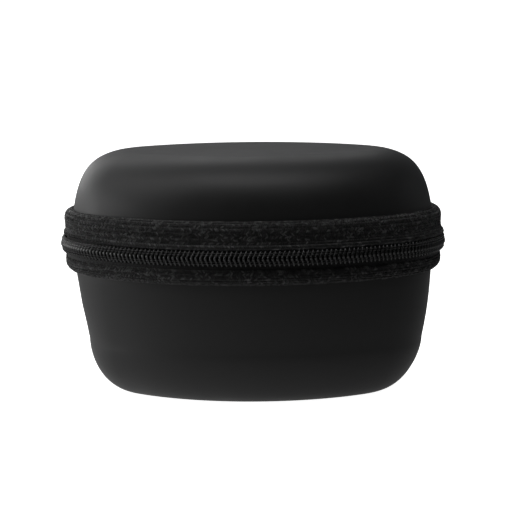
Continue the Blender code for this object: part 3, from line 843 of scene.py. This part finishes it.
# zip tapes, bindings and the cloth hinge
band = {
    "upper": [
        (3.2, 72.5), (3.25, 74.2), (3.35, 75.9), (3.75, 76.55), (4.5, 76.95), (4.45, 77.6), (3.95, 78.2), (3.7, 78.9),
        (3.8, 80.3), (3.95, 82.2), (4.05, 84.0), (3.9, 85.3), (3.5, 86.3), (2.7, 87.1), (1.7, 87.6), (0.7, 87.9),
        (-0.1, 88.0), (-0.12, 87.5), (0.5, 86.95), (1.5, 86.6), (2.7, 86.0), (3.45, 84.4), (3.4, 81.8), (3.0, 79.4),
        (2.75, 77.9), (2.5, 76.4), (2.4, 74.2), (2.42, 72.5),
    ],
    "lower": [
        (3.2, 70.5), (3.25, 68.6), (3.3, 67.0), (3.45, 66.2), (3.6, 65.4), (3.68, 63.9), (3.45, 62.3), (2.8, 61.0),
        (1.9, 60.1), (0.8, 59.4), (-0.4, 58.95), (-0.95, 59.1), (-0.3, 59.7), (0.8, 60.2), (2.0, 60.85), (2.9, 62.0),
        (3.2, 63.2), (3.1, 64.3), (2.55, 65.3), (2.4, 66.6), (2.4, 68.6), (2.42, 70.5),
    ],
    "upperFace": (3, 16), "lowerFace": (3, 10), "upperSeam": 86.9, "lowerSeam": 60.1, "length": 0.428,
    "upperWidth": 0.0175, "lowerWidth": 0.0132, "step": 0.87,
    "pucker": 0.06, "stitchPitch": 2.6, "lump": 0.12, "smallLump": 0.05, "flareFrom": 231.0, "flareTo": 243.0,
    "row": 1.2, "pitch": 0.9, "lean": 47.0, "float": 1.75, "yarn": 0.29, "sink": 0.12, "proud": 0.16, "shake": 0.25,
}


def bandWobble(seamHeight):
    # the seam pulls the cloth in at each stitch and the fold swells unevenly;
    # clear of the sliders' run the selvage flares to the coil
    def wobble(deg, along, n, z):
        if n < 1.0:
            return 0.0, 0.0
        lump = band["lump"] * noise.noise(Vector((along * 0.09, z * 0.25, seamHeight)))
        lump += band["smallLump"] * noise.noise(Vector((along * 0.5, z * 0.7, seamHeight * 2)))
        near = max(0.0, 1 - abs(z - seamHeight) / 1.6)
        pull = band["pucker"] * near * (0.5 + 0.5 * math.cos(2 * math.pi * along / band["stitchPitch"]))
        fade = min(1.0, max(0.0, (abs(z - parting) - 5.2) / 1.5))
        flare = min(1.0, max(0.0, (deg - band["flareFrom"]) / (band["flareTo"] - band["flareFrom"])))
        flare *= max(0.0, 1 - abs(z - 76.9) / 3.6) * (n > 2.9) * (z > 74.5)
        return (lump - pull) * fade + 0.75 * flare, -0.85 * flare
    return wobble


def joinObjects(name, parts, material):
    shape = bmesh.new()
    for part in parts:
        shape.from_mesh(part.data)
        bpy.data.objects.remove(part, do_unlink=True)
    mesh = bpy.data.meshes.new(name)
    shape.to_mesh(mesh)
    shape.free()
    return addObject(name, mesh, material)


def addFloats(name, face, start, end, wobble, material):
    # rows of slanting yarn floats over a face of the section, each row leaning the other way
    parts, gone, along = [], band["row"] * 0.5, 0.0
    sink, proud, length, yarn = band["sink"], band["proud"], band["float"], band["yarn"]
    shape = ((-0.5, -sink), (-0.2, proud), (0.2, proud), (0.5, -sink))
    for (a, b), (c, d) in zip(face, face[1:]):
        step = math.hypot(c - a, d - b)
        while gone <= along + step:
            share = (gone - along) / step
            n, z = a + (c - a) * share, b + (d - b) * share
            cross = Vector((0, -(c - a) / step, (d - b) / step))
            normal = Vector((1, 0, 0)).cross(cross)
            normal = -normal if normal.dot(Vector((0, -1, 0.01))) < 0 else normal
            count = len(parts)
            turn = math.radians(band["lean"] * (-1) ** count)
            lie = Vector((1, 0, 0)) * math.cos(turn) + cross * math.sin(turn)
            path = [lie * (length * x) + normal * h for x, h in shape]
            unit = tubeMesh(name + "Float", path, [yarn * 0.55, yarn, yarn, yarn * 0.55], 4)
            first = start + math.degrees((count % 2) * 0.5 * band["pitch"] / rail["longRadius"])
            parts.append(repeatRail(name + str(count), unit, first, end, n, z, band["pitch"], material, band["shake"],
                                    40 + count, wobble))
            gone += band["row"]
        along += step
    return joinObjects(name, parts, material)


tapes = []
for side, body in (("upper", "lid"), ("lower", "base")):
    tape = sweepRail(side + "Tape", closedCurve(band[side], 3), zipStart, zipEnd, band["step"], looks["weave"],
                     bandWobble(band[side + "Seam"]))
    tapes.append((side, body, finishPiece(tape, body, "woven_tape", side + "_zip_tape")))
for side, body, tape in tapes:
    first, last = band[side + "Face"]
    yarn = addFloats(side + "TapeYarn", openCurve(band[side][first : last + 1], 3), zipStart, zipEnd,
                     bandWobble(band[side + "Seam"]), looks["yarn"])
    finishPiece(yarn, body, "woven_tape")

# bindings: name, body, node, first and last angle, section
bindings = [
    ("baseRimBinding", "base", "base_rim_binding", 0, 360, [
        (1.75, 65.95), (1.75, 66.6), (-1.5, 66.66), (-4.8, 66.68), (-5.75, 66.45), (-5.92, 65.6), (-5.88, 63.0),
        (-5.85, 61.0), (-5.45, 60.6), (-5.05, 61.0), (-5.02, 63.0), (-5.02, 65.6), (-4.6, 65.92), (-1.5, 65.95)]),
    ("lidRimBinding", "lid", "lid_rim_binding", 0, 360, [
        (1.75, 77.05), (1.75, 76.4), (-1.5, 76.34), (-4.8, 76.32), (-5.75, 76.55), (-5.92, 77.4), (-5.88, 80.0),
        (-5.85, 84.2), (-5.45, 84.6), (-5.05, 84.2), (-5.02, 80.0), (-5.02, 77.4), (-4.6, 77.08), (-1.5, 77.05)]),
    ("pocketBinding", "lid", "pocket_binding", 181, 359, [
        (-5.05, 85.2), (-5.02, 86.5), (-5.1, 87.8), (-5.45, 88.0), (-5.85, 87.7), (-5.9, 86.5), (-5.85, 85.3),
        (-5.45, 85.0)]),
]
for name, body, node, start, end, section in bindings:
    binding = sweepRail(name, closedCurve(section, 2), start, end, 1.6, looks["grosgrain"])
    finishPiece(binding, body, "binding_tape", node)

hinge = {
    "fold": 5.0, "outerFlat": (0.0625, 0.040), "innerFlat": (0.070, 0.025), "innerSpan": (70.5, 109.5),
    "stripSpan": [(3.4, 75.6), (3.3, 73.6), (3.3, 71.5), (3.3, 69.4), (3.4, 67.2)],
    "tabSpan": [(4.9, 76.4), (6.5, 75.7), (7.05, 74.2), (7.1, 71.5), (7.05, 68.8), (6.6, 67.4), (5.4, 66.6)],
    "tabGap": 0.4, "tabWidth": 4.6, "yarnInset": 0.3,
    "innerLoop": [
        (-6.25, 59.2), (-6.22, 64.0), (-6.22, 68.0), (-6.22, 71.5), (-6.22, 75.0), (-6.22, 79.0), (-6.25, 83.8),
        (-6.65, 84.0), (-7.05, 83.8), (-7.08, 79.0), (-7.08, 75.0), (-7.08, 71.5), (-7.08, 68.0), (-7.08, 64.0),
        (-7.05, 59.2), (-6.65, 59.0),
    ],
}


def blendPiece(piece, slotName, *replaced):
    # a piece left where it stands, its transform baked in, in place of the parts it replaces
    if replaced:
        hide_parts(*replaced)
    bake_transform(piece)


def strip(upper, lower, middle):
    # the upper band's face, across the parting, to the lower band's face, and back behind
    split = upper.index((-0.12, 87.5))
    low = lower.index((-0.95, 59.1))
    face = upper[3:split + 1][::-1] + middle + lower[3:low + 1]
    back = lower[low + 1:-2] + [(2.4, 67.5), (2.4, 71.5), (2.4, 75.5)] + upper[split + 1:-2][::-1]
    return face, back


def addHingeCloth(name, yarnName, middle, start, end, step, inset, node):
    # a woven piece across the parting, and the yarn floats on it
    face, back = strip(band["upper"], band["lower"], middle)
    wobble = bandWobble(band["upperSeam"])
    cloth = sweepRail(name, closedCurve(face + back, 2), start, end, step, looks["hingeWeave"], wobble)
    blendPiece(cloth, "woven_tape", node)
    yarn = addFloats(yarnName, openCurve(face[1:-1], 3), start + inset, end - inset, wobble, looks["yarn"])
    blendPiece(yarn, "woven_tape")
    return cloth


outerHinge = addHingeCloth("hingeStripOuter", "hingeStripYarn", hinge["stripSpan"], 90 - stripHalf, 90 + stripHalf, 1.0,
                           0.0, "hinge_strip_outer")
innerHinge = sweepRail("hingeStripInner", closedCurve(hinge["innerLoop"], 3), *hinge["innerSpan"], 1.5, looks["lining"])
blendPiece(innerHinge, "brushed_lining", "hinge_strip_inner")
tabFirst = stripHalf + hinge["tabGap"]
for side, start in (("Left", 90 + tabFirst), ("Right", 90 - tabFirst - hinge["tabWidth"])):
    addHingeCloth("zipEndTab" + side, "zipEndTabYarn" + side, hinge["tabSpan"], start, start + hinge["tabWidth"], 0.8,
                  hinge["yarnInset"], "zip_end_tab_" + side.lower())
print("stage: tapes, bindings and hinge")


# coil turns, in millimetres about the chain line: along, inward, up
coil = {
    "pitch": 2.17, "offset": 4.72, "squeeze": 0.86, "lift": 0.2, "upperLean": 1.0, "lowerLean": 0.8, "start": 111.6,
    "end": 428.4, "legWire": 0.50, "headWire": 0.62, "step": 0.16, "threadRows": (2.55, 1.55), "threadWire": 0.15,
    "shake": 0.02,
}
turnPath = [
    (0.0, 0.0, -0.95), (0.0, -0.75, -0.78), (0.02, -1.14, -0.30), (0.09, -1.08, 0.35), (0.28, -0.78, 1.20),
    (0.50, -0.62, 2.30), (0.61, -0.34, 3.10), (0.67, 0.10, 3.42), (0.74, 0.5, 3.10), (0.80, 0.72, 2.30),
    (0.88, 0.82, 1.15), (0.96, 0.84, -0.05), (1.0, 0.60, -0.74), (1.0, 0.0, -0.95),
]
halfTurn = math.degrees(coil["pitch"] / 2 / rail["longRadius"])


def addStringer(name, flip, lean, first, last, body, node, seed):
    # half of the chain: its turns, then the two rows of sewing that hold them
    pitch, squeeze, centre = coil["pitch"], coil["squeeze"], parting + coil["lift"]
    path = [((x if x > 0.9 else x * lean) * pitch, y / squeeze, z * flip) for x, y, z in turnPath]
    sizes = [coil["headWire"] if abs(z) < 0.5 and y < -0.9 else coil["legWire"] for x, y, z in turnPath]
    unit = tubeMesh(name + "Turn", path, sizes, 6)
    for vert in unit.vertices:
        vert.co.y *= squeeze
    out = coil["offset"] - (coil["step"] if flip < 0 else 0.0)
    turns = repeatRail(name, unit, first, last, out, centre, pitch, looks["nylon"], coil["shake"], seed)
    finishPiece(turns, body, "nylon_coil", node)
    for k, height in enumerate(coil["threadRows"]):
        over = 0.60 + 0.10 * (2.55 - height) + coil["legWire"] * squeeze + 0.05
        near = 0.215 * pitch * lean * height
        stitch = [(-0.5, -0.3), (-0.38, -0.6), (-0.2, -over), (0.2, -over), (0.38, -0.6), (0.5, -0.3)]
        arch = [(near + x * pitch, y, height * flip) for x, y in stitch]
        unit = tubeMesh(name + "Stitch", arch, coil["threadWire"], 5)
        sewing = repeatRail(name + "Seam" + str(k + 1), unit, first, last, out, centre, pitch, looks["coilThread"],
                            coil["shake"], seed + 7 + k)
        finishPiece(sewing, body, None)


addStringer("upperCoil", 1, coil["upperLean"], coil["start"], coil["end"] - halfTurn, "lid", "upper_coil", 3)
addStringer("lowerCoil", -1, coil["lowerLean"], coil["start"] + halfTurn, coil["end"], "base", "lower_coil", 4)
stopLoop = [
    (3.55, 3.6), (4.4, 4.05), (5.6, 4.0), (6.35, 3.2), (6.5, 0.0), (6.35, -3.2), (5.6, -4.0), (4.4, -4.05),
    (3.55, -3.6), (3.5, 0.0),
]
for side, first in (("left", 111.0), ("right", 427.6)):
    section = closedCurve([(n, parting + z) for n, z in stopLoop], 3)
    stop = sweepRail("zipStop" + side.title(), section, first, first + 1.4, 0.5, looks["nylon"])
    blendPiece(stop, "nylon_coil", "zip_tail_" + side)
print("stage: zip chain")


# seams: name, body, offset, height, outward tilt of the stitches
seams = {
    "rows": [
        ("lidSeam", "lid", 1.62, 87.72, 70.0),
        ("baseSeam", "base", 1.55, 59.75, -52.0),
        ("baseBindingSeam", "base", -5.93, 62.2, 180.0),
        ("lidBindingSeam", "lid", -5.93, 82.9, 180.0),
    ],
    "length": 1.9, "pitch": 2.6, "wire": 0.19, "sink": 0.22, "proud": 0.13, "shake": 0.05, "firstSeed": 20,
}


def stitchMesh(name, tilt):
    # a stitch that dips into the cloth at both ends
    across, up = math.cos(math.radians(tilt)), math.sin(math.radians(tilt))
    sink, proud, length = seams["sink"], seams["proud"], seams["length"]
    shape = [(-0.5, -sink), (-0.38, 0.02), (-0.15, proud), (0.15, proud), (0.38, 0.02), (0.5, -sink)]
    return tubeMesh(name, [(x * length, -h * across, h * up) for x, h in shape], seams["wire"], 5)


for k, (name, body, n, z, tilt) in enumerate(seams["rows"]):
    row = repeatRail(name, stitchMesh(name + "Stitch", tilt), 90.5, 449.5, n, z, seams["pitch"], looks["thread"],
                     seams["shake"], seams["firstSeed"] + k)
    finishPiece(row, body, None)
print("stage: seams")


# net pocket in the lid
pocket = {
    "netHeight": 86.35, "sag": 3.0, "pitch": 2.4, "wire": 0.305, "weaveLift": 0.2, "edgeY": -5.7, "hemDepth": 7.0,
    "hemLow": 85.6, "hemThick": 1.4, "gather": 3.1, "pucker": 0.42, "halfLength": 78.8, "flat": (0.158, 0.0475),
    "flatArea": 0.0060,
}


def offsetOf(x, y):
    high = math.degrees(math.atan2(y - rail["longY"], x)) % 360
    if y < 0 and 180 + rail["turn"] < high < 360 - rail["turn"]:
        return math.hypot(x, y - rail["longY"]) - rail["longRadius"]
    return math.hypot(abs(x) - rail["endX"], y) - rail["endRadius"]


sideTable = [(*railAt(turn, -6.3), turn) for turn in range(180, 271)]


def sagAt(x, y):
    below = [row for row in sideTable if row[1] <= y]
    edgeX, _, turn = below[0] if below else sideTable[-1]
    share = min(max((1 - x / min(edgeX, -1.0)) / 2, 0.0), 1.0)
    return pocket["sag"] * math.sin(math.pi * share) * math.sin(math.pi * min((turn - 180) / 90, 1.0) * 0.85 + 0.2)


def netChains():
    # two families of threads that cross on the slant, over and under in turn
    chains, pitch = [], pocket["pitch"]
    for family in (1, -1):
        for k in range(-60, 61):
            line = []
            for s in range(-140, 141):
                along = s * pitch / 2
                x = (k * pitch + along) / math.sqrt(2)
                y = (k * pitch - along) / math.sqrt(2) * family - 20
                if y < pocket["edgeY"] + 1.5 and offsetOf(x, y) < -5.5:
                    lift = family * pocket["weaveLift"] * math.cos(math.pi * (along / pitch + k))
                    line.append((x, y, pocket["netHeight"] + sagAt(x, y) + lift))
                elif line:
                    chains.append(line)
                    line = []
            if line:
                chains.append(line)
    return [chain for chain in chains if len(chain) > 2]


values = {"Radius": pocket["wire"] * mm, "Finish": looks["netYarn"]}
net = applyTree("pocketNet", chainObject("netGuide", netChains()), trees["thread"], values, looks["netYarn"])
finishPiece(net, "lid", "pocket_net", "pocket_net")


hemLoop = [
    (0.0, 0.5), (0.35, 0.12), (1.2, 0.0), (2.3, 0.14), (3.5, 0.0), (4.7, 0.14), (5.8, 0.0), (6.65, 0.12), (7.0, 0.5),
    (6.65, 0.88), (5.8, 1.0), (4.7, 0.86), (3.5, 1.0), (2.3, 0.86), (1.2, 1.0), (0.35, 0.88),
]


def addHem():
    # the elastic edge of the pocket, gathered in small waves
    verts, faces, marks, sections = [], [], [], 210
    profile = closedCurve(hemLoop, 2)
    size, markStep, markRow = len(profile), 0.75, 0.5
    for k in range(sections + 1):
        share = k / sections
        x = -pocket["halfLength"] + 2 * pocket["halfLength"] * k / sections
        rise = pocket["sag"] * math.sin(math.pi * share) * math.sin(0.2)
        wave = math.sin(2 * math.pi * x / pocket["gather"] + 1.3 * noise.noise(Vector((x * 0.11, 0, 3))))
        for y, h in profile:
            ruffle = pocket["pucker"] * wave * (0.35 + 0.65 * abs(y - 3.5) / 3.5)
            across = pocket["edgeY"] + y * pocket["hemDepth"] / 7 + 0.25 * wave * (y < 1 or y > 6)
            up = pocket["hemLow"] + rise + h * pocket["hemThick"] + ruffle * 0.5
            verts.append((x * mm, across * mm, up * mm))
    for k in range(sections):
        for j in range(size):
            m = (j + 1) % size
            faces.append((k * size + j, (k + 1) * size + j, (k + 1) * size + m, k * size + m))
            a, b, low, high = k * markStep, (k + 1) * markStep, j * markRow, (j + 1) * markRow
            marks += [(a, low), (b, low), (b, high), (a, high)]
    for row in (0, sections):
        faces.append([row * size + j for j in range(size)])
        marks += [(row * markStep, j * markRow) for j in range(size)]
    return addCloth("pocketElastic", verts, faces, marks, looks["elastic"])


finishPiece(addHem(), "lid", "elastic_hem", "pocket_elastic")
print("stage: net pocket")


# sliders and pulls
slider = {
    "length": 12.4, "noseHalf": 5.18, "tailHalf": 4.85, "inside": 4.25, "lip": 3.75, "top": 8.0, "roof": 6.55,
    "rod": 11.2, "rodWire": 0.8, "bend": 1.9, "straight": 6.2, "linkWire": 0.7, "tabLength": 25.0, "tabThick": 1.4,
    "eye": 1.5, "eyeDrop": -0.35, "tabTop": 3.3, "tabLow": 4.2, "panelInset": 1.05, "panelTop": -6.4,
    "panelDepth": 0.32, "edge": 0.2,
}


def fillet(points, sizes, steps=4):
    # a loop with its corners rounded
    found, count = [], len(points)
    for k in range(count):
        a, b, c = Vector(points[k - 1]), Vector(points[k]), Vector(points[(k + 1) % count])
        size = sizes[k]
        if size <= 0:
            found.append(tuple(b))
            continue
        start, end = b + (a - b).normalized() * size, b + (c - b).normalized() * size
        for s in range(steps + 1):
            t = s / steps
            found.append(tuple(start * (1 - t) ** 2 + b * 2 * t * (1 - t) + end * t * t))
    return found


def insetLoop(loop, depth):
    if not depth:
        return loop
    area = sum(a[0] * b[1] - b[0] * a[1] for a, b in zip(loop, loop[1:] + loop[:1]))
    turn = 1 if area > 0 else -1
    found = []
    for k, point in enumerate(loop):
        along = (Vector(loop[(k + 1) % len(loop)]) - Vector(loop[k - 1])).normalized()
        found.append((point[0] - along.y * depth * turn, point[1] + along.x * depth * turn))
    return found


def loftInto(shape, rings):
    made = [[shape.verts.new(tuple(v * mm for v in point)) for point in ring] for ring in rings]
    for a, b in zip(made, made[1:]):
        for j in range(len(a)):
            m = (j + 1) % len(a)
            shape.faces.new((a[j], a[m], b[m], b[j]))
    shape.faces.new(made[0])
    shape.faces.new(made[-1])


def meshOf(name, shape, material):
    bmesh.ops.recalc_face_normals(shape, faces=shape.faces)
    mesh = bpy.data.meshes.new(name)
    shape.to_mesh(mesh)
    shape.free()
    return addObject(name, mesh, material)


def crisp(obj, width):
    # small rounded edges with flat faces kept flat
    bevel = obj.modifiers.new("bevel", "BEVEL")
    bevel.width, bevel.segments = width * mm, 3
    bevel.limit_method, bevel.angle_limit = "ANGLE", math.radians(38)
    obj.modifiers.new("weigh", "WEIGHTED_NORMAL")


def plain(obj, name, material):
    # the object with its modifiers applied
    bpy.context.view_layer.update()
    mesh = bpy.data.meshes.new_from_object(obj.evaluated_get(bpy.context.evaluated_depsgraph_get()))
    bpy.data.objects.remove(obj, do_unlink=True)
    mesh.name = name
    return addObject(name, mesh, material)


def cut(obj, tool):
    modifier = obj.modifiers.new("cut", "BOOLEAN")
    modifier.operation, modifier.solver, modifier.object = "DIFFERENCE", "EXACT", tool
    made = plain(obj, obj.name, looks["enamel"])
    bpy.data.objects.remove(tool, do_unlink=True)
    return made


def tabOutline(inset, top):
    # the hull of two end circles, the upper one centred at the given height
    bottom = slider["eyeDrop"] - slider["tabLength"] + slider["tabLow"]
    topRadius, lowRadius = slider["tabTop"] - inset, slider["tabLow"] - inset
    found = []
    for k in range(56):
        turn = 2 * math.pi * (k + 0.5) / 56
        u, v = math.cos(turn), math.sin(turn)
        if top * v + topRadius > bottom * v + lowRadius:
            found.append((topRadius * u, top + topRadius * v))
        else:
            found.append((lowRadius * u, bottom + lowRadius * v))
    return found


def addSlider(prefix, deg, radius, nose):
    centre = Vector(joints[prefix + "_slider_travel"]["pos_m"]) / mm
    rad = math.radians(deg)
    out, along = Vector((math.cos(rad), math.sin(rad), 0)), Vector((-math.sin(rad), math.cos(rad), 0))
    zinc = looks["enamel"]

    def place(t, n, z):
        # along the run, outward, up
        return centre + out * (radius + n) + along * t + Vector((0, 0, z))

    def finish(piece, body, node):
        finishPiece(piece, prefix + body, "enamelled_zinc", prefix + node)

    # the body: a channel, the divider in it and the plate under it
    half, shape, rings = slider["length"] / 2, bmesh.new(), []
    lip, roof, inside = slider["lip"], slider["roof"], slider["inside"]
    for t, inset in ((-half, 0.30), (-half + 0.12, 0.08), (-half + 0.4, 0), (-4.4, 0), (-2.2, 0), (0, 0), (2.2, 0),
                     (4.4, 0), (half - 0.4, 0), (half - 0.12, 0.08), (half, 0.30)):
        share = 0.5 + 0.5 * nose * t / half
        grow = slider["tailHalf"] + (slider["noseHalf"] - slider["tailHalf"]) * share**1.6
        top = slider["top"] + 0.12 - 0.45 * abs(t / half) ** 3
        corners = [(lip, -grow), (top, -grow), (top, grow), (lip, grow), (lip, inside), (roof, inside),
                   (roof, -inside), (lip, -inside)]
        loop = fillet(corners, [0.18, 1.5, 1.5, 0.18, 0.18, 0.5, 0.5, 0.18])
        rings.append([place(t, n, z) for n, z in insetLoop(loop, inset)])
    loftInto(shape, rings)
    web = nose * (half - 3.0)
    ellipse = [(math.cos(2 * math.pi * k / 20), math.sin(2 * math.pi * k / 20)) for k in range(20)]
    loftInto(shape, [[place(web + 1.5 * u * grow, n, 0.6 * v * grow) for u, v in ellipse]
                     for n, grow in ((1.0, 1.0), (3.0, 0.92), (5.5, 0.95), (7.0, 1.1))])
    plate = fillet([(-half + 0.6, -4.2), (half - 0.6, -4.2), (half - 0.6, 4.2), (-half + 0.6, 4.2)], [1.6] * 4, 5)
    loftInto(shape, [[place(t, n, z) for t, z in insetLoop(plate, inset)]
                     for n, inset in ((0.5, 0.3), (0.62, 0.08), (0.8, 0), (1.35, 0), (1.52, 0.08), (1.6, 0.3))])
    finish(meshOf(prefix + "SliderBody", shape, zinc), "_slider", "_slider_body")

    # the crown
    rod, wire = slider["rod"], slider["rodWire"]
    arch = openCurve([(-4.4, 7.7), (-4.4, 8.9), (-4.35, 10.2), (-3.6, rod - 0.05), (-1.8, rod), (0, rod), (1.8, rod),
                      (3.6, rod - 0.05), (4.35, 10.2), (4.4, 8.9), (4.4, 7.7)], 4)
    sizes = [wire * (1 + 0.3 * max(0.0, (9.4 - n) / 1.7)) for t, n in arch]
    mesh = tubeMesh(prefix + "Crown", [place(t, n, 0) for t, n in arch], sizes, 12)
    finish(addObject(prefix + "Crown", mesh, zinc), "_slider", "_slider_crown")

    # the wire link
    bend, straight = slider["bend"], slider["straight"]
    arc = [(math.cos(a) * bend, math.sin(a) * bend) for a in (math.pi * k / 12 for k in range(13))]
    loop = arc + [(-bend, -straight * 0.33), (-bend, -straight * 0.67)]
    loop += [(-x, -straight - y) for x, y in arc] + [(bend, -straight * 0.67), (bend, -straight * 0.33)]
    mesh = tubeMesh(prefix + "PullLink", [place(0, rod + n, z) for n, z in loop], slider["linkWire"], 12, True)
    finish(addObject(prefix + "PullLink", mesh, zinc), "_link", "_pull_link")

    # the tab, with its eye and a sunk panel on both faces
    pivot, thick = place(0, rod, -straight - bend), slider["tabThick"] / 2

    def prism(name, outline, low, high):
        work = bmesh.new()
        loftInto(work, [[pivot + along * t + out * w + Vector((0, 0, z)) for t, z in outline] for w in (low, high)])
        return meshOf(name, work, zinc)

    drop, size, sunk = slider["eyeDrop"], slider["eye"], thick - slider["panelDepth"]
    tab = prism(prefix + "PullTab", tabOutline(0.0, drop), -thick, thick)
    eye = [(size * math.cos(2 * math.pi * k / 32), drop + size * math.sin(2 * math.pi * k / 32)) for k in range(32)]
    tab = cut(tab, prism("eyeTool", eye, -2, 2))
    for low, high in ((sunk, 2), (-2, -sunk)):
        tab = cut(tab, prism("panelTool", tabOutline(slider["panelInset"], slider["panelTop"]), low, high))
    crisp(tab, slider["edge"])
    finish(plain(tab, prefix + "PullTab", zinc), "_tab", "_pull_tab")


# which slider, the angle it stands at, the radius of its arc, the way its nose points
addSlider("front", 135.6, rail["endRadius"], -1)
addSlider("rear", 123.6, rail["longRadius"], 1)
print("stage: sliders and pulls")
